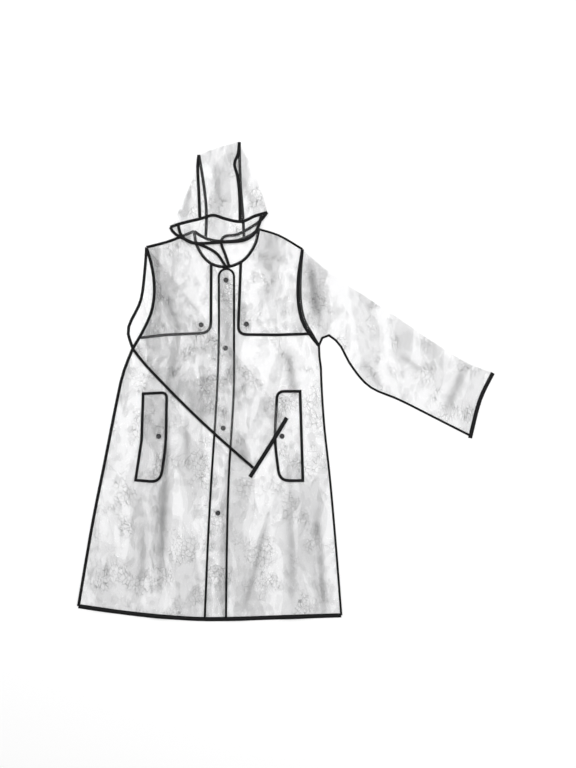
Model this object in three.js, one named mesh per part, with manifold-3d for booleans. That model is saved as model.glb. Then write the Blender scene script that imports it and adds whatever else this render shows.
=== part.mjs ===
// A hooded raincoat of clear film with black bound edges, laid flat on its back.
// The wearer's left sleeve lies out to the side and the right one is folded across the front.
// Millimetres. +X is towards the wearer's left, +Y towards the hood, +Z up from the surface.
//
// The coat is built as it is laid: every piece of film rests on the pieces below it.
// Heights are kept on one lattice of knots, and every piece is cut from that lattice, so
// pieces in different layers run parallel and never meet.

import * as THREE from 'three';
import { mergeVertices } from 'three/addons/utils/BufferGeometryUtils.js';
import Module from 'manifold-3d';

const wasm = await Module();
wasm.setup();

// ---------------------------------------------------------------- driving sizes

const FILM = 1; // wall of every film piece
const TAPE = 1.6; // thickness of a folded binding tape
const GAP = 0.3; // clearance between neighbouring pieces
const FOLD_WALL = 2; // width of the wall that joins two layers at a fold
const TIE = 9; // length of the turn where a tape passes from one layer to another

const WIDTHS = { seam: 7.5, edge: 7, fine: 5.5, hem: 10.5, cuff: 10, split: 1 };

const SNAP = { radius: 6.3, height: 2.6, rim: 0.8, eye: 2.2, eyeDepth: 0.7, sides: 12 };

const CELL = { x: 30, y: 48 }; // spacing of the lattice knots
const FIELD = { x: -560, y: -640, columns: 38, rows: 27 }; // first knot and number of cells
const CLEARANCE = 4; // reach beyond an outline that still counts as covered
const SHAVE = 0.05; // largest move of a surface when flat triangles are merged
const FAR = 200; // half height of the cutters, beyond every piece

const LAYERS = { back: 0, front: 1, flaps: 2, under: 3, over: 4, top: 5 };

// ---------------------------------------------------------------- lines in the plan

const at = (x, y) => new THREE.Vector2(x, y);

/** A smooth line through the given points, as points no further apart than the step. */
function smooth(points, step = 20) {
  const curve = new THREE.SplineCurve(points);
  return curve.getSpacedPoints(Math.ceil(curve.getLength() / step));
}

/** A line of straight runs whose corners are rounded to the radius given as their third value. */
function cornered(corners, closed = false) {
  const line = [];
  const count = corners.length;
  corners.forEach(([x, y, radius = 0], index) => {
    const corner = at(x, y);
    const isEnd = !closed && (index === 0 || index === count - 1);
    if (isEnd || radius === 0) {
      line.push(corner);
      return;
    }
    const before = at(...corners[(index + count - 1) % count]);
    const after = at(...corners[(index + 1) % count]);
    const start = corner.clone().add(before.sub(corner).setLength(radius));
    const end = corner.clone().add(after.sub(corner).setLength(radius));
    line.push(...new THREE.QuadraticBezierCurve(start, corner, end).getPoints(5));
  });
  return line;
}

/** The points of a half circle that arches from left to right over the given centre. */
function arch(centre, radius, steps = 8) {
  return Array.from({ length: steps + 1 }, (_, index) => {
    const angle = Math.PI * (1 - index / steps);
    return at(centre.x + radius * Math.cos(angle), centre.y + radius * Math.sin(angle));
  });
}

/** A round outline of a few points. */
function ringOf(centre, radius, sides) {
  return Array.from({ length: sides }, (_, index) => {
    const angle = 2 * Math.PI * index / sides;
    return at(centre.x + radius * Math.cos(angle), centre.y + radius * Math.sin(angle));
  });
}

/** Several lines joined end to end into one outline, without doubled points. */
function outline(...lines) {
  const points = lines.flat();
  return points.filter((point, index) => {
    const next = points[(index + 1) % points.length];
    return point.distanceTo(next) > 0.5;
  });
}

const backwards = (line) => [...line].reverse();

/** The stretch of a line between two fractions of its points. */
function stretch(line, from, to) {
  const last = line.length - 1;
  return line.slice(Math.round(from * last), Math.round(to * last) + 1);
}

// ---------------------------------------------------------------- the coat's seam lines

const shoulderTip = { right: at(-347, 332), left: at(43, 327) };
const underarm = { right: at(-381, 79), left: at(84, 86) };
const hemCorner = { right: at(-517, -565), left: at(140, -588) };
const neckPoint = { right: at(-228, 372), left: at(-66, 377) };
const hoodTip = { right: at(-287, 382), left: at(-45, 419) };
const throatEnd = { right: at(-149, 284), left: at(-140, 284) };
const crownTop = { right: at(-216, 563), left: at(-115, 595) };
const placketArch = { centre: at(-147, 259), radius: 19 };

const lines = {
  shoulderRight: smooth([shoulderTip.right, at(-290, 347), neckPoint.right]),
  shoulderLeft: smooth([neckPoint.left, at(-15, 361), shoulderTip.left]),
  neckFront: smooth([
    neckPoint.right, at(-219, 332), at(-190, 294), at(-147, 283), at(-104, 300), at(-76, 338),
    neckPoint.left,
  ], 12),
  neckBack: smooth([neckPoint.right, at(-196, 353), at(-147, 346), at(-100, 355), neckPoint.left]),

  armholeRightFront: smooth([
    shoulderTip.right, at(-333, 282), at(-327, 225), at(-334, 172), at(-356, 122), underarm.right,
  ]),
  armholeRightBack: smooth([
    shoulderTip.right, at(-351, 275), at(-361, 200), at(-386, 147), at(-393, 118), underarm.right,
  ]),
  armholeLeftFront: smooth([
    shoulderTip.left, at(33, 262), at(32, 200), at(41, 150), at(60, 116), underarm.left,
  ]),
  armholeLeftBack: smooth([
    shoulderTip.left, at(38, 262), at(38, 200), at(47, 152), at(65, 118), underarm.left,
  ]),

  sideRight: smooth([
    underarm.right, at(-404, 20), at(-418, -38), at(-450, -200), at(-482, -360), hemCorner.right,
  ], 30),
  sideLeft: smooth([
    underarm.left, at(79, 72), at(88, 50), at(90, 0), at(97, -110), at(112, -250), at(127, -420),
    hemCorner.left,
  ], 30),
  hem: smooth([
    hemCorner.right, at(-380, -584), at(-240, -596), at(-140, -597), at(10, -592), hemCorner.left,
  ], 30),

  sleeveLeftTop: smooth([
    shoulderTip.left, at(82, 291), at(137, 251), at(287, 151), at(437, 52), at(519, 18),
  ], 30),
  sleeveLeftUnder: smooth([
    underarm.left, at(101, 114), at(135, 90), at(165, 36), at(212, -17), at(287, -50),
    at(380, -97), at(463, -139),
  ], 22),
  cuffLeft: smooth([at(519, 18), at(486, -51), at(462, -145)]),

  sleeveRightTop: smooth([
    shoulderTip.right, at(-310, 290), at(-196, 150), at(-73, 5), at(0, -97),
  ], 30),
  sleeveRightUnder: smooth([underarm.right, at(-338, 26), at(-213, -100), at(-80, -219)], 30),
  cuffRight: smooth([at(4, -94), at(-36, -160), at(-88, -242)]),
  sleeveHeadRoll: smooth([at(-342, 275), at(-352, 205), at(-375, 155)]),

  placketRight: smooth([
    at(-201, -593), at(-193, -400), at(-184, -240), at(-171, -38), at(-166, 100),
    at(placketArch.centre.x - placketArch.radius, placketArch.centre.y),
  ], 40),
  placketLeft: smooth([
    at(placketArch.centre.x + placketArch.radius, placketArch.centre.y), at(-128, 100),
    at(-129, -38), at(-141, -240), at(-146, -425), at(-148, -595),
  ], 40),

  stormRight: cornered([[-185, 288], [-186, 118, 26], [-300, 113], [-361, 106]]),
  stormLeft: cornered([[-111, 293], [-118, 114, 22], [-20, 113], [68, 116]]),
  pocketRight: cornered([
    [-355, -34], [-296, -31, 14], [-298, -165, 40], [-312, -255, 26], [-374, -250], [-359, -150],
  ], true),
  pocketLeft: cornered([
    [37, -28], [44, -251], [-14, -251, 24], [-27, -150, 40], [-20, -28, 18],
  ], true),

  hoodTop: smooth([crownTop.right, at(-165, 583), crownTop.left]),
  crownRightFront: smooth([crownTop.right, at(-219, 532), at(-216, 470), at(-213, 398)], 14),
  crownLeftFront: smooth([
    crownTop.left, at(-118, 565), at(-127, 540), at(-119, 508), at(-114, 455), at(-113, 392),
  ], 10),
  crownRightBack: smooth([crownTop.right, at(-204, 490), at(-197, 420), at(-199, 350)]),
  crownLeftBack: smooth([crownTop.left, at(-112, 490), at(-106, 412), at(-103, 352)]),
  hoodOuterRight: smooth([
    at(-222, 528), at(-249, 460), at(-278, 397), hoodTip.right,
  ]),
  hoodOuterLeft: smooth([crownTop.left, at(-108, 576), at(-86, 538), at(-58, 463), hoodTip.left]),
  collarFoldRight: [neckPoint.right, hoodTip.right],
  collarFoldLeft: [neckPoint.left, hoodTip.left],
  brow: smooth([
    hoodTip.right, at(-262, 391), at(-213, 403), at(-180, 412), at(-150, 403), at(-110, 396),
    at(-76, 410), hoodTip.left,
  ], 10),
  throatRight: smooth([
    hoodTip.right, at(-275, 365), at(-240, 347), at(-200, 333), at(-170, 315), throatEnd.right,
  ], 12),
  throatLeft: smooth([
    hoodTip.left, at(-62, 398), at(-93, 377), at(-122, 363), at(-151, 359), at(-160, 343),
    at(-150, 314), throatEnd.left,
  ], 8),
  visorEdge: smooth([
    at(-267, 388), at(-262, 366), at(-247, 349), at(-220, 341), at(-160, 344), at(-106, 348),
    at(-78, 364), at(-64, 392), at(-59, 416),
  ], 12),
};

/** The part of the front neckline that lies between two values of x. */
function neckBetween(fromX, toX) {
  return lines.neckFront.filter((point) => point.x >= fromX && point.x <= toX);
}

/** The point of the right throat edge at which it has crossed the neckline. */
const THROAT_CROSSING = 8;

/** The root of the visor, just below the brow. */
const visorRoot = stretch(lines.brow, 0.1, 0.93).map(({ x, y }) => at(x, y - WIDTHS.seam));

/** The part of the hem between two values of x. */
function hemBetween(fromX, toX) {
  return lines.hem.filter((point) => point.x >= fromX && point.x <= toX);
}

const hemSplit = at(-201, -597.3);
const placketLine = [
  ...lines.placketRight.slice(0, -1),
  ...arch(placketArch.centre, placketArch.radius),
  ...lines.placketLeft.slice(1),
];

// ---------------------------------------------------------------- film pieces

/** Both layers of a sleeve: each goes from its own armhole line to the cuff. */
function sleeve(name, lower, upper, lowerArmhole, upperArmhole, top, underside, caught = []) {
  return [[lower, lowerArmhole], [upper, upperArmhole]].map(([layer, armhole]) => ({
    name,
    layer,
    caught,
    area: outline(backwards(armhole), top, backwards(underside)),
  }));
}

const films = [
  {
    name: 'back_panel',
    layer: LAYERS.back,
    area: outline(
      lines.shoulderRight, lines.neckBack, lines.shoulderLeft, lines.armholeLeftBack,
      lines.sideLeft, backwards(lines.hem), backwards(lines.sideRight),
      backwards(lines.armholeRightBack),
    ),
  },
  {
    name: 'front_right',
    layer: LAYERS.front,
    area: outline(
      lines.shoulderRight, neckBetween(-227, -168), backwards(lines.placketRight),
      backwards(hemBetween(-518, -205)), backwards(lines.sideRight),
      backwards(lines.armholeRightFront),
    ),
  },
  {
    name: 'front_left',
    layer: LAYERS.front,
    area: outline(
      neckBetween(-162, -67), lines.shoulderLeft, lines.armholeLeftFront, lines.sideLeft,
      backwards(hemBetween(-200, 141)), lines.placketRight,
    ),
  },
  ...sleeve(
    'sleeve_left', LAYERS.back, LAYERS.front, lines.armholeLeftBack, lines.armholeLeftFront,
    lines.sleeveLeftTop, lines.sleeveLeftUnder,
  ),
  ...sleeve(
    'sleeve_right', LAYERS.under, LAYERS.over, lines.armholeRightFront, lines.armholeRightBack,
    lines.sleeveRightTop, lines.sleeveRightUnder, ['armhole_binding_right', 'side_seam_right'],
  ),
  {
    name: 'placket',
    layer: LAYERS.flaps,
    caught: ['hem_binding'],
    area: outline(placketLine),
  },
  {
    name: 'storm_flap_right',
    layer: LAYERS.flaps,
    caught: ['armhole_binding_right', 'shoulder_seam_right', 'neck_binding'],
    area: outline(
      lines.shoulderRight, neckBetween(-227, -186), lines.stormRight, [at(-345, 145)],
      backwards(stretch(lines.armholeRightFront, 0, 0.65)),
    ),
  },
  {
    name: 'storm_flap_left',
    layer: LAYERS.flaps,
    caught: ['armhole_binding_left', 'shoulder_seam_left', 'neck_binding'],
    area: outline(
      backwards(lines.shoulderLeft), backwards(neckBetween(-110, -67)), lines.stormLeft,
      backwards(stretch(lines.armholeLeftFront, 0, 0.8)),
    ),
  },
  { name: 'pocket_flap_right', layer: LAYERS.flaps, area: lines.pocketRight },
  { name: 'pocket_flap_left', layer: LAYERS.flaps, area: lines.pocketLeft },
  {
    name: 'hood_crown',
    layer: LAYERS.back,
    area: outline(
      lines.hoodTop, lines.crownLeftBack, [at(-147, 346)], backwards(lines.crownRightBack),
    ),
  },
  {
    name: 'hood_crown',
    layer: LAYERS.front,
    area: outline(
      lines.hoodTop, lines.crownLeftFront, [at(-150, 403), at(-180, 412)],
      backwards(lines.crownRightFront),
    ),
  },
  {
    name: 'hood_side_right',
    layer: LAYERS.back,
    area: outline(
      lines.hoodOuterRight, [neckPoint.right], backwards(stretch(lines.crownRightBack, 0.2, 1)),
    ),
  },
  {
    name: 'hood_side_right',
    layer: LAYERS.front,
    area: outline(
      lines.hoodOuterRight, [at(-262, 391)], backwards(stretch(lines.crownRightFront, 0.25, 1)),
    ),
  },
  // The right throat edge crosses the neckline, so its film changes sides along the way.
  {
    name: 'hood_side_right',
    layer: LAYERS.under,
    area: outline(
      lines.throatRight.slice(0, THROAT_CROSSING - 1), neckBetween(-212, -155),
      backwards(lines.throatRight.slice(THROAT_CROSSING + 1)), [at(-216, 346), at(-226, 374)],
    ),
  },
  {
    name: 'hood_side_left',
    layer: LAYERS.back,
    area: outline(
      lines.hoodOuterLeft, [neckPoint.left], backwards(lines.crownLeftBack),
    ),
  },
  {
    name: 'hood_side_left',
    layer: LAYERS.front,
    area: outline(lines.hoodOuterLeft, [at(-76, 410)], backwards(lines.crownLeftFront)),
  },
  {
    name: 'hood_side_left',
    layer: LAYERS.under,
    area: outline(lines.throatLeft, neckBetween(-140, -67)),
  },
  {
    name: 'hood_visor',
    layer: LAYERS.top,
    area: outline(lines.visorEdge, backwards(visorRoot)),
  },
];

/** Folds of the film: a wall along a line joins the layers of one piece. */
const folds = [
  { name: 'sleeve_left', line: lines.sleeveLeftTop, from: LAYERS.back, to: LAYERS.front },
  { name: 'sleeve_right', line: lines.sleeveRightTop, from: LAYERS.under, to: LAYERS.over },
  { name: 'sleeve_right', line: lines.sleeveHeadRoll, from: LAYERS.front, to: LAYERS.over },
  { name: 'hood_crown', line: lines.hoodTop, from: LAYERS.back, to: LAYERS.front },
  { name: 'hood_side_right', line: lines.hoodOuterRight, from: LAYERS.back, to: LAYERS.front },
  { name: 'hood_side_right', line: lines.collarFoldRight, from: LAYERS.back, to: LAYERS.under },
  { name: 'hood_side_left', line: lines.hoodOuterLeft, from: LAYERS.back, to: LAYERS.front },
  { name: 'hood_side_left', line: lines.collarFoldLeft, from: LAYERS.back, to: LAYERS.under },
];

// ---------------------------------------------------------------- binding tapes

/** A tape along a line, from one layer to another; a tape in the table's front cuts the later ones. */
function tape(name, line, width, from, to = from, closed = false) {
  return { name, line, width, from, to, closed };
}

/** A tape with a run in each of two layers, and a turn at both ends that joins the runs. */
function loopTape(name, lowerLine, upperLine, width, lower, upper) {
  const turnAtStart = upperLine.slice(0, 2);
  const turnAtEnd = upperLine.slice(-2).reverse();
  return [
    tape(name, lowerLine, width, lower),
    tape(name, upperLine, width, upper),
    ...[turnAtStart, turnAtEnd].map(([end, next]) => {
      const inner = end.clone().add(next.clone().sub(end).setLength(TIE));
      return tape(name, [end, inner], width, lower, upper);
    }),
  ];
}

const { back, front, flaps, under, over, top } = LAYERS;

const tapes = [
  ...loopTape(
    'armhole_binding_right', lines.armholeRightBack, lines.armholeRightFront, WIDTHS.seam,
    back, front,
  ),
  ...loopTape(
    'armhole_binding_left', lines.armholeLeftBack, lines.armholeLeftFront, WIDTHS.seam,
    back, front,
  ),
  tape('neck_binding', lines.neckBack, WIDTHS.seam, back, front),
  tape('neck_binding', lines.neckFront, WIDTHS.seam, front),
  tape('shoulder_seam_right', lines.shoulderRight, WIDTHS.edge, back, front),
  tape('shoulder_seam_left', lines.shoulderLeft, WIDTHS.fine, back, front),
  ...loopTape('hem_binding', lines.hem, lines.hem, WIDTHS.hem, back, front),
  tape('side_seam_right', lines.sideRight, WIDTHS.seam, back, front),
  tape('side_seam_left', lines.sideLeft, WIDTHS.fine, back, front),
  ...loopTape('cuff_binding_left', lines.cuffLeft, lines.cuffLeft, WIDTHS.cuff, back, front),
  tape('underarm_seam_left', lines.sleeveLeftUnder, WIDTHS.fine, back, front),

  ...loopTape('cuff_binding_right', lines.cuffRight, lines.cuffRight, WIDTHS.cuff, under, over),
  tape('underarm_seam_right', lines.sleeveRightUnder, WIDTHS.edge, under, over),

  tape('placket_binding', placketLine, WIDTHS.fine, flaps),
  tape('storm_binding_right', lines.stormRight, WIDTHS.edge, flaps),
  tape('storm_binding_left', lines.stormLeft, WIDTHS.edge, flaps),
  tape('pocket_binding_right', lines.pocketRight, WIDTHS.edge, flaps, flaps, true),
  tape('pocket_binding_left', lines.pocketLeft, WIDTHS.edge, flaps, flaps, true),

  tape('face_binding', lines.brow, WIDTHS.seam, front),
  tape('face_binding', lines.throatRight, WIDTHS.edge, over),
  tape('face_binding', lines.throatLeft, WIDTHS.edge, over),
  tape('face_binding', lines.brow.slice(0, 2), WIDTHS.edge, front, over),
  tape('face_binding', lines.brow.slice(-2), WIDTHS.edge, front, over),
  ...loopTape(
    'crown_seam_right', lines.crownRightBack, lines.crownRightFront, WIDTHS.seam, back, front,
  ).slice(0, 3),
  ...loopTape(
    'crown_seam_left', lines.crownLeftBack, lines.crownLeftFront, WIDTHS.seam, back, front,
  ).slice(0, 3),
  tape('visor_binding', lines.visorEdge, WIDTHS.seam, top),
];

/** Slits: two fronts meet under the placket and stay a hair apart. */
const slits = [
  { line: lines.placketRight, width: WIDTHS.split, layer: front },
  { line: [hemSplit, at(hemSplit.x, hemSplit.y + WIDTHS.hem)], width: WIDTHS.split, layer: front },
];

const snaps = {
  snap_placket_1: at(-148, 250),
  snap_placket_2: at(-149, 80),
  snap_placket_3: at(-155, -120),
  snap_placket_4: at(-168, -332),
  snap_storm_right: at(-210, 138),
  snap_storm_left: at(-97, 140),
  snap_pocket_right: at(-316, -140),
  snap_pocket_left: at(-8, -140),
};

// ---------------------------------------------------------------- swells of the film

// Long soft ridges: the line each one follows, its height and how far it reaches to a side.
const ridges = {
  [front]: [
    { from: at(-287, -60), to: at(-318, -585), height: 4.5, reach: 46 },
    { from: at(10, 90), to: at(4, -30), height: 3, reach: 42 },
    { from: at(8, -250), to: at(18, -585), height: 4.5, reach: 48 },
    { from: at(-25, -330), to: at(-120, -570), height: 3.5, reach: 46 },
    { from: at(-432, -330), to: at(-462, -570), height: 2.5, reach: 44 },
    { from: at(-240, 60), to: at(-222, -330), height: 2, reach: 44 },
    { from: at(-270, 310), to: at(-290, 170), height: 2, reach: 44 },
    { from: at(-30, 310), to: at(-20, 160), height: 1.6, reach: 44 },
    { from: at(72, 270), to: at(76, 150), height: 4, reach: 42 },
    { from: at(175, 160), to: at(195, 40), height: 3, reach: 46 },
    { from: at(265, 110), to: at(300, 0), height: 4, reach: 50 },
    { from: at(400, 30), to: at(445, -85), height: 4, reach: 46 },
    { from: at(-170, 560), to: at(-160, 440), height: 3.5, reach: 44 },
    { from: at(-245, 440), to: at(-238, 415), height: 2, reach: 40 },
    { from: at(-80, 500), to: at(-72, 440), height: 2.5, reach: 40 },
  ],
  [top]: [
    { from: at(-200, 372), to: at(-110, 374), height: 2, reach: 44 },
  ],
  [over]: [
    { from: at(-300, 215), to: at(-320, 130), height: 2.5, reach: 44 },
    { from: at(-215, 110), to: at(-270, 40), height: 2.5, reach: 46 },
    { from: at(-120, 10), to: at(-175, -70), height: 2.5, reach: 46 },
    { from: at(-45, -70), to: at(-95, -150), height: 3, reach: 44 },
  ],
};

/** How much the ridges of a layer lift the film at a point. */
function swell(layer, point) {
  const rows = ridges[layer] ?? [];
  return rows.reduce((sum, { from, to, height, reach }) => {
    const run = to.clone().sub(from);
    const share = THREE.MathUtils.clamp(point.clone().sub(from).dot(run) / run.lengthSq(), 0, 1);
    const away = point.distanceTo(from.clone().addScaledVector(run, share)) / reach;
    return sum + (away < 1 ? height * (1 - away ** 2) ** 2 : 0);
  }, 0);
}

// ---------------------------------------------------------------- the lattice of heights

const KNOTS_ACROSS = FIELD.columns + 1;
const knotCount = KNOTS_ACROSS * (FIELD.rows + 1);
const knotPlace = (index) => at(
  FIELD.x + CELL.x * (index % KNOTS_ACROSS),
  FIELD.y + CELL.y * Math.floor(index / KNOTS_ACROSS),
);
const knots = Array.from({ length: knotCount }, (_, index) => knotPlace(index));

/** Columns and rows of the cells that hold the box of an area. */
function cellRange(points) {
  const box = new THREE.Box2().setFromPoints(points).expandByScalar(CLEARANCE);
  const column = (x) => Math.floor((x - FIELD.x) / CELL.x);
  const row = (y) => Math.floor((y - FIELD.y) / CELL.y);
  return {
    left: column(box.min.x),
    right: column(box.max.x),
    bottom: row(box.min.y),
    top: row(box.max.y),
  };
}

function isInside(area, point) {
  let inside = false;
  area.forEach((corner, index) => {
    const other = area[(index + area.length - 1) % area.length];
    const crosses = corner.y > point.y !== other.y > point.y;
    const share = (point.y - corner.y) / (other.y - corner.y);
    if (crosses && point.x < corner.x + share * (other.x - corner.x)) {
      inside = !inside;
    }
  });
  return inside;
}

/** The knots of every cell that an area reaches into. */
function coveredKnots(area) {
  const covered = new Set();
  const range = cellRange(area);
  const addCell = (column, row) => {
    const knot = row * KNOTS_ACROSS + column;
    [knot, knot + 1, knot + KNOTS_ACROSS, knot + KNOTS_ACROSS + 1].forEach((k) => covered.add(k));
  };
  for (let row = range.bottom; row <= range.top; row += 1) {
    for (let column = range.left; column <= range.right; column += 1) {
      const middle = at(FIELD.x + CELL.x * (column + 0.5), FIELD.y + CELL.y * (row + 0.5));
      if (isInside(area, middle)) {
        addCell(column, row);
      }
    }
  }
  area.forEach((corner, index) => {
    const next = area[(index + 1) % area.length];
    const steps = Math.ceil(corner.distanceTo(next) / CLEARANCE);
    for (let step = 0; step < steps; step += 1) {
      const point = corner.clone().lerp(next, step / steps);
      for (const [dx, dy] of [[-1, -1], [-1, 1], [1, -1], [1, 1]]) {
        addCell(
          Math.floor((point.x + dx * CLEARANCE - FIELD.x) / CELL.x),
          Math.floor((point.y + dy * CLEARANCE - FIELD.y) / CELL.y),
        );
      }
    }
  });
  return covered;
}

/** The two sides of a tape along a line; sharp corners are mitred. */
function sidesOf(line, width, closed) {
  const count = line.length;
  const offset = (sign) => line.map((point, index) => {
    const isFirst = !closed && index === 0;
    const isLast = !closed && index === count - 1;
    const before = isFirst ? point : line[(index + count - 1) % count];
    const after = isLast ? point : line[(index + 1) % count];
    const inward = isFirst ? after.clone().sub(point) : point.clone().sub(before);
    const outward = isLast ? inward.clone() : after.clone().sub(point);
    const along = inward.normalize().add(outward.normalize());
    const mitre = 2 / along.length();
    along.normalize();
    const across = at(-along.y, along.x);
    return point.clone().addScaledVector(across, sign * mitre * width / 2);
  });
  return [offset(1), offset(-1)];
}

/** The plan of a tape: its outline, and the outline of the hole inside a closed one. */
function tapePlan({ line, width, closed }, growth = 0) {
  const sides = sidesOf(line, width + 2 * growth, closed);
  if (!closed) {
    return { area: [...sides[0], ...backwards(sides[1])] };
  }
  const size = (side) => Math.abs(THREE.ShapeUtils.area(side));
  const [hole, area] = sides.sort((one, other) => size(one) - size(other));
  return { area, hole };
}

/** The height at a point of the surface through a set of knot heights. */
function heightOver(heights, { x, y }) {
  const column = (x - FIELD.x) / CELL.x;
  const row = (y - FIELD.y) / CELL.y;
  const knot = Math.floor(row) * KNOTS_ACROSS + Math.floor(column);
  const across = column % 1;
  const along = row % 1;
  const [near, far] = [heights[knot], heights[knot + KNOTS_ACROSS + 1]];
  if (across > along) {
    const side = heights[knot + 1];
    return near + across * (side - near) + along * (far - side);
  }
  const side = heights[knot + KNOTS_ACROSS];
  return near + along * (side - near) + across * (far - side);
}

// Heights of each layer's underside at the knots, found by laying the layers one by one.
const pile = new Array(knotCount).fill(-GAP);
const undersides = {};
const snapHeights = {};

function raise(area, height) {
  coveredKnots(area).forEach((knot) => {
    pile[knot] = Math.max(pile[knot], height(knot));
  });
}

for (const layer of Object.values(LAYERS)) {
  const underside = pile.map((height, knot) => height + GAP + swell(layer, knots[knot]));
  undersides[layer] = underside;
  films.filter((film) => film.layer === layer).forEach((film) => {
    raise(film.area, (knot) => underside[knot] + FILM);
  });
  tapes.filter((row) => row.to === layer).forEach((row) => {
    raise(tapePlan(row).area, (knot) => underside[knot] + TAPE);
  });
  if (layer === flaps) {
    Object.entries(snaps).forEach(([name, centre]) => {
      const footprint = ringOf(centre, SNAP.radius, SNAP.sides);
      const below = footprint.map((point) => heightOver(underside, point));
      snapHeights[name] = Math.max(...below) + FILM + GAP;
      raise(footprint, () => snapHeights[name] + SNAP.height);
    });
  }
}

// ---------------------------------------------------------------- solids

/** A closed solid from a three.js geometry. */
function solidOf(geometry) {
  geometry.deleteAttribute('normal');
  geometry.deleteAttribute('uv');
  const merged = mergeVertices(geometry, 1e-4);
  return new wasm.Manifold(new wasm.Mesh({
    numProp: 3,
    vertProperties: new Float32Array(merged.attributes.position.array),
    triVerts: new Uint32Array(merged.index.array),
  }));
}

/** A tall upright block with the given plan. */
function block({ area, hole }) {
  const geometry = new THREE.ExtrudeGeometry(
    new THREE.Shape(area),
    { depth: 2 * FAR, bevelEnabled: false },
  );
  geometry.translate(0, 0, -FAR);
  const solid = solidOf(geometry);
  return hole ? solid.subtract(block({ area: hole })) : solid;
}

/** The space over an area between two sets of knot heights. */
function slab(points, bottomAt, topAt) {
  const range = cellRange(points);
  const across = range.right - range.left + 2;
  const along = range.top - range.bottom + 2;
  const vertices = [];
  [bottomAt, topAt].forEach((heightAt) => {
    for (let row = 0; row < along; row += 1) {
      for (let column = 0; column < across; column += 1) {
        const knot = (row + range.bottom) * KNOTS_ACROSS + column + range.left;
        vertices.push(knots[knot].x, knots[knot].y, heightAt(knot));
      }
    }
  });
  const level = across * along;
  const faces = [];
  const quad = (a, b, c, d) => faces.push(a, b, c, a, c, d);
  for (let row = 0; row < along - 1; row += 1) {
    for (let column = 0; column < across - 1; column += 1) {
      const corner = row * across + column;
      const opposite = corner + across + 1;
      quad(level + corner, level + corner + 1, level + opposite, level + corner + across);
      faces.push(corner, opposite, corner + 1, corner, corner + across, opposite);
    }
  }
  const rim = [];
  for (let column = 0; column < across - 1; column += 1) rim.push(column);
  for (let row = 0; row < along - 1; row += 1) rim.push(row * across + across - 1);
  for (let column = across - 1; column > 0; column -= 1) rim.push((along - 1) * across + column);
  for (let row = along - 1; row > 0; row -= 1) rim.push(row * across);
  rim.forEach((knot, index) => {
    const next = rim[(index + 1) % rim.length];
    quad(knot, next, level + next, level + knot);
  });
  return new wasm.Manifold(new wasm.Mesh({
    numProp: 3,
    vertProperties: new Float32Array(vertices),
    triVerts: new Uint32Array(faces),
  }));
}

/** The solid over a plan from the underside of one layer to a height above another's. */
function layered(plan, from, to, thickness) {
  const lower = undersides[from];
  const upper = undersides[to];
  const space = slab(plan.area, (knot) => lower[knot], (knot) => upper[knot] + thickness);
  return space.intersect(block(plan));
}

const meetsLayer = (row, layer) => row.from <= layer && layer <= row.to;

/** Every tape that has to be cut away from a piece, widened by the clearance. */
function cutters(name, layers, earlierTapes, caught = []) {
  const isCut = (row) => row.name !== name &&
    (caught.includes(row.name) || layers.some((layer) => meetsLayer(row, layer)));
  return earlierTapes.filter(isCut).map((row) => block(tapePlan(row, GAP)));
}

function cut(solid, tools) {
  return tools.reduce((rest, tool) => rest.subtract(tool), solid);
}

const solids = new Map();

function add(name, solid, kind) {
  const known = solids.get(name);
  solids.set(name, { kind, solid: known ? known.solid.add(solid) : solid });
}

const layersBetween = (from, to) => Object.values(LAYERS).filter((n) => n >= from && n <= to);

tapes.forEach((row, index) => {
  const solid = layered(tapePlan(row), row.from, row.to, TAPE);
  const earlier = tapes.slice(0, index);
  const slitsHere = slits.filter((slit) => row.name === 'hem_binding' && row.to === slit.layer &&
    row.from === slit.layer);
  const slitBlocks = slitsHere.map((slit) => block(tapePlan(slit)));
  add(row.name, cut(solid, [...cutters(row.name, layersBetween(row.from, row.to), earlier),
    ...slitBlocks]), 'tape');
});

films.forEach((film) => {
  const solid = layered(film, film.layer, film.layer, FILM);
  const slitsHere = slits.filter((slit) => slit.layer === film.layer);
  const slitBlocks = slitsHere.map((slit) => block(tapePlan(slit)));
  add(film.name, cut(solid, [...cutters(film.name, [film.layer], tapes, film.caught),
    ...slitBlocks]), 'film');
});

folds.forEach((fold) => {
  const plan = tapePlan({ line: fold.line, width: FOLD_WALL, closed: false });
  const solid = layered(plan, fold.from, fold.to, FILM);
  add(fold.name, cut(solid, cutters(fold.name, layersBetween(fold.from, fold.to), tapes)), 'film');
});

/** A snap cap: a low round button with a softened rim and a shallow eye. */
function snapCap(centre, height) {
  const profile = [
    at(0, 0),
    at(SNAP.radius, 0),
    at(SNAP.radius, SNAP.height - SNAP.rim),
    at(SNAP.radius - SNAP.rim, SNAP.height),
    at(SNAP.eye + SNAP.eyeDepth, SNAP.height),
    at(SNAP.eye, SNAP.height - SNAP.eyeDepth),
    at(0, SNAP.height - SNAP.eyeDepth),
  ];
  const geometry = new THREE.LatheGeometry(profile, SNAP.sides);
  geometry.rotateX(Math.PI / 2);
  geometry.translate(centre.x, centre.y, height);
  return solidOf(geometry);
}

Object.entries(snaps).forEach(([name, centre]) => {
  add(name, snapCap(centre, snapHeights[name]), 'snap');
});

/** The largest body of a solid; offcuts beyond a seam fall away. */
function mainBody(solid) {
  const bodies = solid.decompose();
  return bodies.reduce((best, body) => (body.volume() > best.volume() ? body : best));
}

function geometryOf(solid) {
  const { vertProperties, triVerts } = solid.getMesh();
  const geometry = new THREE.BufferGeometry();
  geometry.setAttribute('position', new THREE.BufferAttribute(vertProperties, 3));
  geometry.setIndex(new THREE.BufferAttribute(triVerts, 1));
  geometry.computeVertexNormals();
  return geometry;
}

// ---------------------------------------------------------------- the model

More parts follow.
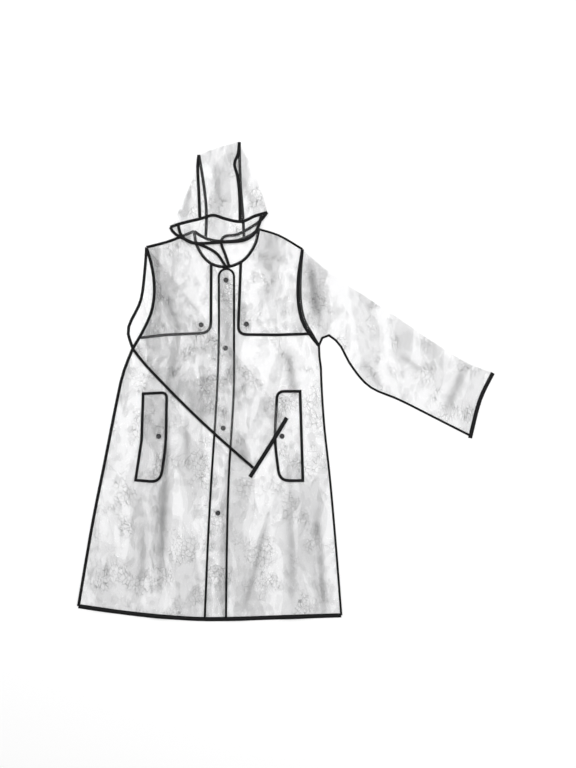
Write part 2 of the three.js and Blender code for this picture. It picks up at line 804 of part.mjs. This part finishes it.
const materials = {
  film: () => new THREE.MeshStandardMaterial({
    color: 0xe6eaec, roughness: 0.12, metalness: 0, transparent: true, opacity: 0.35,
  }),
  tape: () => new THREE.MeshStandardMaterial({ color: 0x101012, roughness: 0.5, metalness: 0 }),
  snap: () => new THREE.MeshStandardMaterial({ color: 0x141416, roughness: 0.35, metalness: 0 }),
};

const group = new THREE.Group();
solids.forEach(({ kind, solid }, name) => {
  const shaved = mainBody(solid).asOriginal().simplify(SHAVE);
  const mesh = new THREE.Mesh(geometryOf(shaved), materials[kind]());
  mesh.name = name;
  group.add(mesh);
});

const box = new THREE.Box3().setFromObject(group);
const centre = box.getCenter(new THREE.Vector3());
group.position.set(-centre.x, -centre.y, -box.min.z);

export default group;
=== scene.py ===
"""A clear hooded raincoat with black bound edges, laid flat on a pale surface.

Every film piece and binding is rebuilt on the faces that its CAD solid turns upwards:
the outline comes from those faces, and the film between gets its folds and creases here.
"""

import math
import random

import bmesh
import bpy
import numpy as np
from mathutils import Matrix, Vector
from mathutils.bvhtree import BVHTree
from mathutils.geometry import delaunay_2d_cdt

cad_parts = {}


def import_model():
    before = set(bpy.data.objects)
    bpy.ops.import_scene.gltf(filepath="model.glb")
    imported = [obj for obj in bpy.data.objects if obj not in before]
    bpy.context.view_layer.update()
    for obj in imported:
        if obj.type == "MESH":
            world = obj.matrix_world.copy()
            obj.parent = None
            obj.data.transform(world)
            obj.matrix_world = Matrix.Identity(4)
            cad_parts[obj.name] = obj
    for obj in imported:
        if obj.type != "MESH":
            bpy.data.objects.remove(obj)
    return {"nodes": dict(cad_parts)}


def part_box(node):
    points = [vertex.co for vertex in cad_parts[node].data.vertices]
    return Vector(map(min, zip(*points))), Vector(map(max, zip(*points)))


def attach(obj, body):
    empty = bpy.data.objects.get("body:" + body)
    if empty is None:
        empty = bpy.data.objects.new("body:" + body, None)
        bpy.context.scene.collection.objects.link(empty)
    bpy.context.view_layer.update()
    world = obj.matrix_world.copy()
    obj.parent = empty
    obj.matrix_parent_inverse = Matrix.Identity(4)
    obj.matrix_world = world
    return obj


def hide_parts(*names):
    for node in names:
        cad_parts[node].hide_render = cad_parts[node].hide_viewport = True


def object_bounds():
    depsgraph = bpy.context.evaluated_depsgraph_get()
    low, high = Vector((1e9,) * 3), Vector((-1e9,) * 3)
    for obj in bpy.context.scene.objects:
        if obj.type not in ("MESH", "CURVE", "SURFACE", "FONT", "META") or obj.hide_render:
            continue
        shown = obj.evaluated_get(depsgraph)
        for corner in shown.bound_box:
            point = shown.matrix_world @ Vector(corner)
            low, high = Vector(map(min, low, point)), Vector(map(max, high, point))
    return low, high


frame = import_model()
cad_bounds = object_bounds()

MM = 0.001
FILM_STEP = 5 * MM  # spacing of the points in a film
TAPE_STEP = 2 * MM  # spacing of the points in a binding
SMOOTHING_ROUNDS = 40  # rounds of averaging that turn the CAD facets into soft swells
WELD = 0.02 * MM  # CAD points nearer than this are one point
RIM_WELD = 0.05 * MM  # the same for the points put along an outline
SMALLEST_PATCH = 20 * MM * MM  # a smaller set of upward faces is the edge of a wall
UPWARD = 0.5  # a face whose normal's Z is above this is turned upwards
ROW_SPACING = 0.87  # rows of the triangle grid, as a share of the step
RIM_GAP = 0.45  # no grid point is nearer to the outline than this share of the step
SEED = 7
CRINKLE_COUNT = 420

FILM_LIFT = -0.45 * MM  # the real film is thinner than the CAD wall, so it lies lower in it
TAPE_CROWN = 1.3 * MM  # height of a binding's rounded section
SEAM_CROWN = 2.3 * MM  # the same, for a binding that closes two films at the surface
LOWEST_FILM = 0.3 * MM
LOWEST_TAPE = 0.1 * MM
SURFACE_LAYER = 1.2 * MM  # a film whose top is below this lies on the surface
SURFACE_CREASE = 0.5 * MM  # tallest crease that such a film keeps
SURFACE_SHARE = 0.35  # and how much of it shows

# A snap cap's section from the rim inwards: shares of its radius and of its height.
SNAP_PROFILE = [
    (1.0, 0.0), (1.0, 0.55), (0.97, 0.8), (0.88, 0.97), (0.76, 1.0), (0.62, 0.95),
    (0.52, 0.78), (0.42, 0.70), (0.36, 0.78), (0.26, 0.9), (0.12, 0.92),
]
SNAP_MIDDLE = 0.9  # height of the eye's middle, as a share of the cap's
SNAP_SIDES = 36

# The cut of what shows of each film piece: its greatest width and length in metres.
CUTS = {
    "back_panel": (0.66, 0.97),
    "front_right": (0.35, 0.97),
    "front_left": (0.35, 0.97),
    "sleeve_right": (0.46, 0.62),
    "sleeve_left": (0.46, 0.62),
    "placket": (0.09, 0.89),
    "storm_flap_right": (0.18, 0.27),
    "storm_flap_left": (0.18, 0.27),
    "pocket_flap_right": (0.08, 0.23),
    "pocket_flap_left": (0.07, 0.23),
    "hood_crown": (0.12, 0.46),
    "hood_side_right": (0.14, 0.25),
    "hood_side_left": (0.12, 0.31),
    "hood_visor": (0.20, 0.08),
}


# ---------------------------------------------------------------- reading the CAD faces


def upward_patches(node):
    """The connected sets of faces that a CAD node turns upwards, as (points, faces)."""
    mesh = bmesh.new()
    mesh.from_mesh(frame["nodes"][node].data)
    bmesh.ops.remove_doubles(mesh, verts=mesh.verts, dist=WELD)
    mesh.normal_update()
    mesh.faces.index_update()
    mesh.verts.index_update()
    waiting = {face.index: face for face in mesh.faces if face.normal.z > UPWARD}
    patches = []
    while waiting:
        group = [waiting.pop(min(waiting))]
        for face in group:
            for edge in face.edges:
                for other in edge.link_faces:
                    if other.index in waiting:
                        group.append(waiting.pop(other.index))
        group.sort(key=by_index)  # a set of faces or points has no order that lasts
        verts = sorted({vert for face in group for vert in face.verts}, key=by_index)
        number = {vert.index: place for place, vert in enumerate(verts)}
        points = np.array([vert.co[:] for vert in verts])
        faces = [[number[vert.index] for vert in face.verts] for face in group]
        patches.append((points, faces))
    mesh.free()
    return [patch for patch in patches if patch_area(*patch) > SMALLEST_PATCH]


def by_index(item):
    """Sorts mesh parts by their own numbers."""
    return item.index


def patch_area(points, faces):
    """Plan area of a patch of triangles."""
    corners = points[np.array([face[:3] for face in faces])][:, :, :2]
    one = corners[:, 1] - corners[:, 0]
    two = corners[:, 2] - corners[:, 0]
    return float(np.abs(one[:, 0] * two[:, 1] - one[:, 1] * two[:, 0]).sum() / 2)


def outline_edges(faces):
    """The edges that only one face of a patch uses."""
    seen = {}
    for face in faces:
        for start, end in zip(face, face[1:] + face[:1]):
            key = (min(start, end), max(start, end))
            seen[key] = seen.get(key, 0) + 1
    return [key for key, count in seen.items() if count == 1]


def distance_to(points, starts, ends):
    """Distance of each plan point to the nearest of the segments."""
    nearest = np.full(len(points), np.inf)
    for start, end in zip(starts, ends):
        run = end - start
        share = np.clip(((points - start) @ run) / max(run @ run, 1e-12), 0, 1)
        away = np.hypot(*(points - start - share[:, None] * run).T)
        nearest = np.minimum(nearest, away)
    return nearest


def inside(points, starts, ends):
    """Which plan points lie inside the outline made of the segments."""
    result = np.zeros(len(points), bool)
    x, y = points.T
    for start, end in zip(starts, ends):
        crosses = (start[1] > y) != (end[1] > y)
        if crosses.any():
            at_y = start[0] + (y - start[1]) / (end[1] - start[1] + 1e-15) * (end[0] - start[0])
            result ^= crosses & (x < at_y)
    return result


def refined(points, faces, step):
    """A patch with points all over it at the given spacing: (points, faces, edge distance)."""
    rim_points = []
    rim_edges = []
    known = {}
    for start, end in outline_edges(faces):
        pieces = max(1, math.ceil(np.hypot(*(points[end] - points[start])[:2]) / step))
        row = []
        for index in range(pieces + 1):
            spot = points[start] + (points[end] - points[start]) * index / pieces
            key = tuple(np.round(spot[:2] / RIM_WELD).astype(int))
            if key not in known:
                known[key] = len(rim_points)
                rim_points.append(spot)
            row.append(known[key])
        rim_edges += [pair for pair in zip(row, row[1:]) if pair[0] != pair[1]]
    rim = np.array(rim_points)
    starts = np.array([rim[a][:2] for a, _ in rim_edges])
    ends = np.array([rim[b][:2] for _, b in rim_edges])
    low = rim[:, :2].min(0)
    high = rim[:, :2].max(0)
    rows = np.arange(low[1], high[1], step * ROW_SPACING)
    grid = np.array(
        [(x + (index % 2) * step / 2, y) for index, y in enumerate(rows)
         for x in np.arange(low[0], high[0], step)]
    ).reshape(-1, 2)
    grid = grid[inside(grid, starts, ends)]
    grid = grid[distance_to(grid, starts, ends) > RIM_GAP * step]
    plan = np.vstack([rim[:, :2], grid])
    out = delaunay_2d_cdt([Vector(spot) for spot in plan], rim_edges, [], 1, 1e-7)
    spots = np.array([vert[:] for vert in out[0]])
    triangles = [face for face in out[2] if len(face) == 3]
    middles = np.array([spots[face].mean(0) for face in triangles])
    kept = inside(middles, starts, ends)
    triangles = [face for face, keep in zip(triangles, kept) if keep]
    edge_distance = distance_to(spots, starts, ends)
    tree = BVHTree.FromPolygons([Vector(spot) for spot in points], faces)
    heights = [surface_height(tree, spot) for spot in spots]
    return np.column_stack([spots, heights]), triangles, edge_distance


def surface_height(tree, spot):
    """Height of the CAD faces at a plan point, or at the face nearest to it."""
    hit = tree.ray_cast(Vector((spot[0], spot[1], 1.0)), Vector((0, 0, -1)))
    if hit[0] is None:
        hit = tree.find_nearest(Vector((spot[0], spot[1], 0.005)))
    return hit[0].z


def soften(points, triangles, rounds):
    """Averages the heights of the points with their neighbours', the rim's too."""
    edges = {tuple(sorted(pair)) for face in triangles for pair in zip(face, face[1:] + face[:1])}
    pairs = np.array(sorted(edges))
    count = np.bincount(pairs.ravel(), minlength=len(points)).clip(1)
    heights = points[:, 2]
    for _ in range(rounds):
        total = np.bincount(pairs[:, 0], heights[pairs[:, 1]], len(points))
        total += np.bincount(pairs[:, 1], heights[pairs[:, 0]], len(points))
        heights = 0.5 * heights + 0.5 * total / count
    points[:, 2] = heights


# ---------------------------------------------------------------- folds and creases

# Long creases: start, end, height (a trough's is negative) and half width, in mm.
LONG_CREASES = [
    (-300, -150, -331, -560, 2.2, 9),
    (-268, -60, -290, -580, -1.6, 12),
    (-345, -300, -378, -580, 1.2, 14),
    (-430, -60, -455, -330, 1.0, 16),
    (-250, -130, -205, -190, 1.6, 7),
    (-178, -170, -238, -230, 1.5, 5),
    (-425, -440, -368, -498, 1.6, 4),
    (-282, -470, -200, -528, 1.7, 5),
    (4, -290, -60, -440, 1.8, 12),
    (-20, -320, -128, -560, 1.6, 10),
    (22, -300, 30, -575, 1.8, 9),
    (62, -330, 88, -560, 1.2, 10),
    (28, 80, 2, -20, 1.6, 9),
    (60, 60, 84, -30, 1.4, 10),
    (-170, -34, -92, -36, 1.2, 4),
    (-300, 260, -262, 130, 1.4, 9),
    (-250, 320, -232, 190, 1.2, 8),
    (70, 300, 80, 120, 1.8, 8),
    (58, 280, 66, 150, -1.2, 6),
    (150, 160, 160, 60, 1.4, 5),
    (205, 130, 196, 20, 1.5, 6),
    (250, 60, 300, -40, 1.8, 10),
    (330, 60, 350, -60, 1.6, 6),
    (372, 70, 430, -95, 2.0, 7),
    (430, 30, 452, -120, 1.8, 5),
    (300, 30, 380, 60, 1.4, 6),
    (-172, 560, -168, 455, 1.6, 4),
    (-150, 565, -148, 440, -1.2, 5),
    (-185, 480, -160, 440, 1.4, 5),
    (-160, 480, -178, 425, 1.2, 4),
    (-95, 510, -60, 450, 1.4, 8),
]

# Folds where the film is greyed by painted shade: start and end in mm, share of light lost, half
# width in mm.
PAINTED_SHADE_FOLDS = [
    (-292, -40, -318, -560, 0.30, 22),
    (-250, -80, -245, -230, 0.14, 12),
    (-350, -330, -372, -585, 0.14, 14),
    (-230, -420, -215, -560, 0.14, 12),
    (0, 90, 26, -50, 0.26, 20),
    (8, -250, 18, -585, 0.18, 22),
    (-40, -330, -108, -585, 0.20, 16),
    (72, -300, 100, -585, 0.22, 18),
    (58, 315, 86, 130, 0.30, 22),
    (452, 50, 392, -92, 0.22, 22),
    (280, 70, 350, 20, 0.14, 14),
    (190, 60, 240, -20, 0.12, 14),
    (-330, 250, -250, 120, 0.12, 20),
    (-300, 60, -180, -120, 0.10, 26),
    (-160, 200, -130, 20, 0.10, 18),
    (-235, 500, -262, 390, 0.16, 14),
    (-175, 560, -165, 440, 0.18, 12),
    (-110, 520, -80, 430, 0.14, 12),
]

# The films that carry this painted fold shade, with each one's share of it.
FOLD_SHADED_FILMS = {
    "front_right": 1.0,
    "front_left": 1.0,
    "sleeve_left": 0.6,
    "hood_side_right": 0.6,
    "hood_side_left": 0.6,
    "hood_crown": 0.6,
}


def crease_field(plan, rows, sharpness=1.5):
    """What a list of creases adds at each plan point; the list is in mm and the sum in m."""
    height = np.zeros(len(plan))
    for x0, y0, x1, y1, size, width in rows:
        start = np.array([x0, y0]) * MM
        run = np.array([x1 - x0, y1 - y0]) * MM
        share = ((plan - start) @ run) / (run @ run)
        along = np.clip(share, 0, 1)
        away = np.hypot(*(plan - start - along[:, None] * run).T) / (width * MM)
        taper = np.clip(1.3 * np.sin(np.pi * np.clip(share, 0.02, 0.98)), 0, 1)
        height += size * MM * taper / (1 + away**2) ** sharpness
    return height


def crinkles(seed, low, high, count):
    """Short creases at random places and angles in a box in m, as rows for crease_field."""
    rng = random.Random(seed)
    rows = []
    for _ in range(count):
        x = rng.uniform(low[0], high[0]) / MM
        y = rng.uniform(low[1], high[1]) / MM
        angle = rng.gauss(math.pi / 2, 0.9)
        length = rng.uniform(18, 80)
        rows.append((
            x, y, x + length * math.cos(angle), y + length * math.sin(angle),
            rng.choice((-1, 1)) * rng.uniform(0.25, 0.8), rng.uniform(2.5, 6),
        ))
    return rows


def hem_puckers(y, low_x, high_x, seed):
    """Short creases that run up from the hem, uneven in length and spacing."""
    rng = random.Random(seed)
    rows = []
    x = low_x
    while x < high_x:
        lean = rng.uniform(-14, 14)
        length = rng.uniform(25, 75)
        rows.append((x, y, x + lean, y + length, rng.uniform(0.5, 1.2), rng.uniform(2.5, 5)))
        x += rng.uniform(9, 26)
    return rows


low, high = (np.array(corner) for corner in cad_bounds)
SHARED_CREASES = (
    LONG_CREASES
    + crinkles(SEED, low, high, CRINKLE_COUNT)
    + hem_puckers(-588, -505, 130, SEED)
)


# ---------------------------------------------------------------- materials


def new_material(name):
    """A material with its nodes, its links and its Principled shader."""
    material = bpy.data.materials.new(name)
    material.use_nodes = True
    tree = material.node_tree
    return material, tree.nodes, tree.links, tree.nodes["Principled BSDF"]


def math_node(nodes, links, operation, one, two):
    """A maths node on two sockets or numbers; gives its output."""
    node = nodes.new("ShaderNodeMath")
    node.operation = operation
    for slot, value in zip(node.inputs, (one, two)):
        if isinstance(value, (int, float)):
            slot.default_value = value
        else:
            links.new(value, slot)
    return node.outputs[0]


def ramp(nodes, links, value, low_in, high_in, low_out, high_out):
    """A socket's values mapped from one range to another, and held inside it."""
    node = nodes.new("ShaderNodeMapRange")
    for name, number in (
        ("From Min", low_in), ("From Max", high_in), ("To Min", low_out), ("To Max", high_out),
    ):
        node.inputs[name].default_value = number
    links.new(value, node.inputs["Value"])
    return node.outputs["Result"]


def cells(nodes, links, place, per_metre, feature):
    """A cell texture with its own number of cells per metre along each axis."""
    scaled = nodes.new("ShaderNodeVectorMath")
    scaled.operation = "MULTIPLY"
    scaled.inputs[1].default_value = per_metre
    links.new(place, scaled.inputs[0])
    texture = nodes.new("ShaderNodeTexVoronoi")
    texture.feature = feature
    texture.inputs["Scale"].default_value = 1
    links.new(scaled.outputs[0], texture.inputs["Vector"])
    return texture


def first_channel(nodes, links, colour):
    """One number from a cell's random colour."""
    split = nodes.new("ShaderNodeSeparateColor")
    links.new(colour, split.inputs[0])
    return split.outputs[0]


def warped_place(nodes, links, reach):
    """Object coordinates pushed about by a slow noise, so that cells get bent edges."""
    place = nodes.new("ShaderNodeTexCoord").outputs["Object"]
    noise = nodes.new("ShaderNodeTexNoise")
    noise.inputs["Scale"].default_value = 9
    noise.inputs["Detail"].default_value = 1
    links.new(place, noise.inputs["Vector"])
    push = nodes.new("ShaderNodeVectorMath")
    push.operation = "MULTIPLY_ADD"
    push.inputs[1].default_value = (reach, reach, 0)
    links.new(noise.outputs["Color"], push.inputs[0])
    links.new(place, push.inputs[2])
    return push.outputs[0]


def film_material():
    """Clear soft vinyl: see-through, with creased facets that glint; painted shade greys its
    folds, broad bands, some facets and its crinkle lines.
    """
    material, nodes, links, gloss = new_material("film")
    gloss.inputs["Base Color"].default_value = (0.8, 0.8, 0.81, 1)
    gloss.inputs["Roughness"].default_value = 0.06
    gloss.inputs["IOR"].default_value = 1.5
    gloss.inputs["Specular IOR Level"].default_value = 1.0
    place = warped_place(nodes, links, 0.05)
    bands = cells(nodes, links, place, (24, 5, 260), "F1")
    facets = cells(nodes, links, place, (75, 48, 400), "F1")
    crease_line_cells = cells(nodes, links, place, (105, 70, 400), "DISTANCE_TO_EDGE")
    patches = nodes.new("ShaderNodeTexNoise")
    patches.inputs["Scale"].default_value = 14
    links.new(place, patches.inputs["Vector"])
    crumpled_shade_mask = ramp(nodes, links, patches.outputs["Fac"], 0.50, 0.60, 0, 1)
    # Painted shade: random broad bands and facets, and dark crinkle lines in the crumpled
    # patches, darken the see-through tint, together with the painted fold shade.
    band_number = first_channel(nodes, links, bands.outputs["Color"])
    band_shade = ramp(nodes, links, band_number, 0.62, 0.72, 0, 0.065)
    facet_number = first_channel(nodes, links, facets.outputs["Color"])
    facet_shade = ramp(nodes, links, facet_number, 0.72, 0.78, 0, 0.05)
    crease_line_shade = ramp(nodes, links, crease_line_cells.outputs["Distance"], 0, 0.035, 0.36, 0)
    crease_line_shade = math_node(nodes, links, "MULTIPLY", crease_line_shade, crumpled_shade_mask)
    # The painted fold shade stored on each film's points.
    painted_fold_shade = nodes.new("ShaderNodeAttribute")
    painted_fold_shade.attribute_name = "painted_fold_shade"
    painted_shade = math_node(nodes, links, "ADD", band_shade, facet_shade)
    painted_shade = math_node(nodes, links, "ADD", painted_shade, crease_line_shade)
    painted_shade = math_node(nodes, links, "ADD", painted_shade, painted_fold_shade.outputs["Fac"])
    light = math_node(nodes, links, "SUBTRACT", 1, painted_shade)
    tint = nodes.new("ShaderNodeCombineColor")
    for channel in tint.inputs[:3]:
        links.new(light, channel)
    clear = nodes.new("ShaderNodeBsdfTransparent")
    links.new(tint.outputs[0], clear.inputs["Color"])
    bump = nodes.new("ShaderNodeBump")
    bump.inputs["Strength"].default_value = 0.8
    bump.inputs["Distance"].default_value = 0.004
    links.new(facets.outputs["Distance"], bump.inputs["Height"])
    links.new(bump.outputs["Normal"], gloss.inputs["Normal"])
    rim = nodes.new("ShaderNodeFresnel")
    rim.inputs["IOR"].default_value = 1.5
    links.new(bump.outputs["Normal"], rim.inputs["Normal"])
    mix = nodes.new("ShaderNodeMixShader")
    links.new(rim.outputs["Fac"], mix.inputs["Fac"])
    links.new(clear.outputs[0], mix.inputs[1])
    links.new(gloss.outputs[0], mix.inputs[2])
    links.new(mix.outputs[0], nodes["Material Output"].inputs["Surface"])
    return material


def tape_material():
    """Black binding tape: a tight weave with a slight sheen."""
    material, nodes, links, cloth = new_material("binding")
    cloth.inputs["Roughness"].default_value = 0.55
    cloth.inputs["Specular IOR Level"].default_value = 0.15
    place = nodes.new("ShaderNodeTexCoord")
    weave = nodes.new("ShaderNodeTexWave")
    weave.inputs["Scale"].default_value = 420
    weave.inputs["Distortion"].default_value = 1.5
    links.new(place.outputs["Object"], weave.inputs["Vector"])
    wear = nodes.new("ShaderNodeTexNoise")
    wear.inputs["Scale"].default_value = 60
    links.new(place.outputs["Object"], wear.inputs["Vector"])
    tint = nodes.new("ShaderNodeValToRGB")
    tint.color_ramp.elements[0].color = (0.001, 0.001, 0.001, 1)
    tint.color_ramp.elements[1].color = (0.006, 0.006, 0.007, 1)
    links.new(wear.outputs["Fac"], tint.inputs["Fac"])
    links.new(tint.outputs["Color"], cloth.inputs["Base Color"])
    bump = nodes.new("ShaderNodeBump")
    bump.inputs["Strength"].default_value = 0.3
    bump.inputs["Distance"].default_value = 0.0003
    links.new(weave.outputs["Fac"], bump.inputs["Height"])
    links.new(bump.outputs["Normal"], cloth.inputs["Normal"])
    return material


def snap_material():
    """Black moulded plastic with a faint grain."""
    material, nodes, links, plastic = new_material("snap")
    plastic.inputs["Base Color"].default_value = (0.010, 0.010, 0.012, 1)
    place = nodes.new("ShaderNodeTexCoord")
    grain = nodes.new("ShaderNodeTexNoise")
    grain.inputs["Scale"].default_value = 300
    links.new(place.outputs["Object"], grain.inputs["Vector"])
    shine = nodes.new("ShaderNodeMapRange")
    shine.inputs["To Min"].default_value = 0.22
    shine.inputs["To Max"].default_value = 0.4
    links.new(grain.outputs["Fac"], shine.inputs["Value"])
    links.new(shine.outputs["Result"], plastic.inputs["Roughness"])
    return material


FILM = film_material()
TAPE = tape_material()
SNAP = snap_material()


# ---------------------------------------------------------------- pieces


def add_fold_shade(piece, plan, share):
    """How much painted fold shade greys the film at each point, for the film material."""
    fold_shade = share * crease_field(plan, PAINTED_SHADE_FOLDS, 4) / MM
    layer = piece.data.attributes.new("painted_fold_shade", "FLOAT", "POINT")
    layer.data.foreach_set("value", np.clip(fold_shade, 0, 0.5))


def add_piece(name, node, slot, material, points, triangles):
    """A mesh object that stands for a CAD node and rides on the coat."""
    mesh = bpy.data.meshes.new(name)
    mesh.from_pydata([tuple(point) for point in points], [], [list(face) for face in triangles])
    mesh.materials.append(material)
    for polygon in mesh.polygons:
        polygon.use_smooth = True
    mesh.update()
    if sum(polygon.normal.z for polygon in mesh.polygons) < 0:
        mesh.flip_normals()
    piece = bpy.data.objects.new(name, mesh)
    bpy.context.scene.collection.objects.link(piece)
    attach(piece, "root")
    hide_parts(node)
    return piece


def joined(patches):
    """Several (points, triangles) as one."""
    points = []
    triangles = []
    for patch_points, patch_triangles in patches:
        shift = sum(len(part) for part in points)
        triangles += [[corner + shift for corner in face] for face in patch_triangles]
        points.append(patch_points)
    return np.vstack(points), triangles


def film(node):
    """A film piece on its solid's faces, with the coat's folds and creases."""
    made = []
    for points, faces in upward_patches(node):
        spots, triangles, _ = refined(points, faces, FILM_STEP)
        soften(spots, triangles, SMOOTHING_ROUNDS)
        lies_on_surface = points[:, 2].max() < SURFACE_LAYER
        creases = crease_field(spots[:, :2], SHARED_CREASES)
        if lies_on_surface:
            creases = SURFACE_SHARE * np.clip(creases, 0, SURFACE_CREASE)
        spots[:, 2] = np.maximum(spots[:, 2] + creases + FILM_LIFT, LOWEST_FILM)
        made.append((spots, triangles))
    points, triangles = joined(made)
    piece = add_piece(node + "_film", node, "film", FILM, points, triangles)
    if node in FOLD_SHADED_FILMS:
        add_fold_shade(piece, points[:, :2], FOLD_SHADED_FILMS[node])
    return piece


def binding(node):
    """A binding with a rounded section on its solid's faces."""
    made = []
    closes_two_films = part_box(node)[0][2] < 0.5 * MM
    crown = SEAM_CROWN if closes_two_films else TAPE_CROWN
    for points, faces in upward_patches(node):
        spots, triangles, edge_distance = refined(points, faces, TAPE_STEP)
        half = edge_distance.max()
        drop = crown * (1 - np.sqrt(np.clip(1 - (1 - edge_distance / half) ** 2, 0, 1)))
        creases = np.clip(crease_field(spots[:, :2], LONG_CREASES), 0, None)
        spots[:, 2] = np.maximum(spots[:, 2] - drop + creases, LOWEST_TAPE)
        made.append((spots, triangles))
    return add_piece(node + "_tape", node, "binding", TAPE, *joined(made))


def snap(node):
    """A snap cap: a domed button with a rolled rim, a groove and a raised eye."""
    low_corner, high_corner = (np.array(corner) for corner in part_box(node))
    middle = (low_corner + high_corner) / 2
    radius = (high_corner[0] - low_corner[0]) / 2
    height = high_corner[2] - low_corner[2]
    lift = max(0, float(crease_field(middle[None, :2], LONG_CREASES)[0]))
    base = low_corner[2] + lift
    points = []
    for share, level in SNAP_PROFILE:
        for index in range(SNAP_SIDES):
            angle = 2 * math.pi * index / SNAP_SIDES
            points.append((
                middle[0] + share * radius * math.cos(angle),
                middle[1] + share * radius * math.sin(angle),
                base + level * height,
            ))
    points.append((middle[0], middle[1], base + SNAP_MIDDLE * height))
    faces = []
    for ring in range(len(SNAP_PROFILE) - 1):
        for index in range(SNAP_SIDES):
            other = (index + 1) % SNAP_SIDES
            outer = ring * SNAP_SIDES
            inner = outer + SNAP_SIDES
            faces.append([outer + index, outer + other, inner + other, inner + index])
    last = (len(SNAP_PROFILE) - 1) * SNAP_SIDES
    for index in range(SNAP_SIDES):
        faces.append([last + index, last + (index + 1) % SNAP_SIDES, len(points) - 1])
    return add_piece(node + "_cap", node, "snap", SNAP, np.array(points), faces)


def cut_area(node):
    """Flat area of a film piece: the plan area of its solid's upper faces, every layer."""
    return sum(patch_area(*patch) for patch in upward_patches(node))


films = {}
for node in list(frame["nodes"]):
    if node in CUTS:
        films[node] = film(node)
    elif node.startswith("snap"):
        snap(node)
    else:
        binding(node)

for node, piece in films.items():
    cut_area(node)


# ---------------------------------------------------------------- stage


def floor():
    """A wide pale surface just under the coat."""
    bpy.ops.mesh.primitive_plane_add(size=12, location=(0, 0, -0.1 * MM))
    ground = bpy.context.object
    ground.name = "floor"
    material, nodes, _, paint = new_material("floor")
    paint.inputs["Base Color"].default_value = (0.95, 0.95, 0.95, 1)
    paint.inputs["Roughness"].default_value = 1
    paint.inputs["Specular IOR Level"].default_value = 0
    ground.data.materials.append(material)


def area_light(name, place, target, size, power):
    """A rectangular lamp at a place, turned to a target."""
    data = bpy.data.lights.new(name, "AREA")
    data.shape = "RECTANGLE"
    data.size, data.size_y = size
    data.energy = power
    light = bpy.data.objects.new(name, data)
    light.location = place
    light.rotation_euler = (Vector(target) - Vector(place)).to_track_quat("-Z", "Y").to_euler()
    bpy.context.scene.collection.objects.link(light)


def world(strength):
    """An even white surrounding."""
    sky = bpy.data.worlds.new("studio")
    sky.use_nodes = True
    sky.node_tree.nodes["Background"].inputs["Color"].default_value = (1, 1, 1, 1)
    sky.node_tree.nodes["Background"].inputs["Strength"].default_value = strength
    bpy.context.scene.world = sky


def camera():
    """Straight down from above, as the coat is seen."""
    lens = 85
    sensor = 36
    view_height = 1.92  # metres of the surface that the picture's long side takes in
    data = bpy.data.cameras.new("camera")
    data.lens = lens
    data.sensor_width = sensor
    item = bpy.data.objects.new("camera", data)
    item.location = (0.0055, -0.006, view_height * lens / sensor)
    item.rotation_euler = (0, 0, 0)
    bpy.context.scene.collection.objects.link(item)
    bpy.context.scene.camera = item


floor()
world(0.55)
area_light("overhead", (0.2, 0.6, 3.4), (0, 0, 0), (2.4, 1.6), 62)
area_light("side", (-2.6, 1.2, 1.9), (0, 0, 0), (0.5, 2.2), 22)
area_light("low", (2.4, -1.8, 1.5), (0, 0, 0), (0.35, 2.0), 14)
camera()

scene = bpy.context.scene
scene.view_settings.view_transform = "Standard"
scene.cycles.transparent_max_bounces = 32
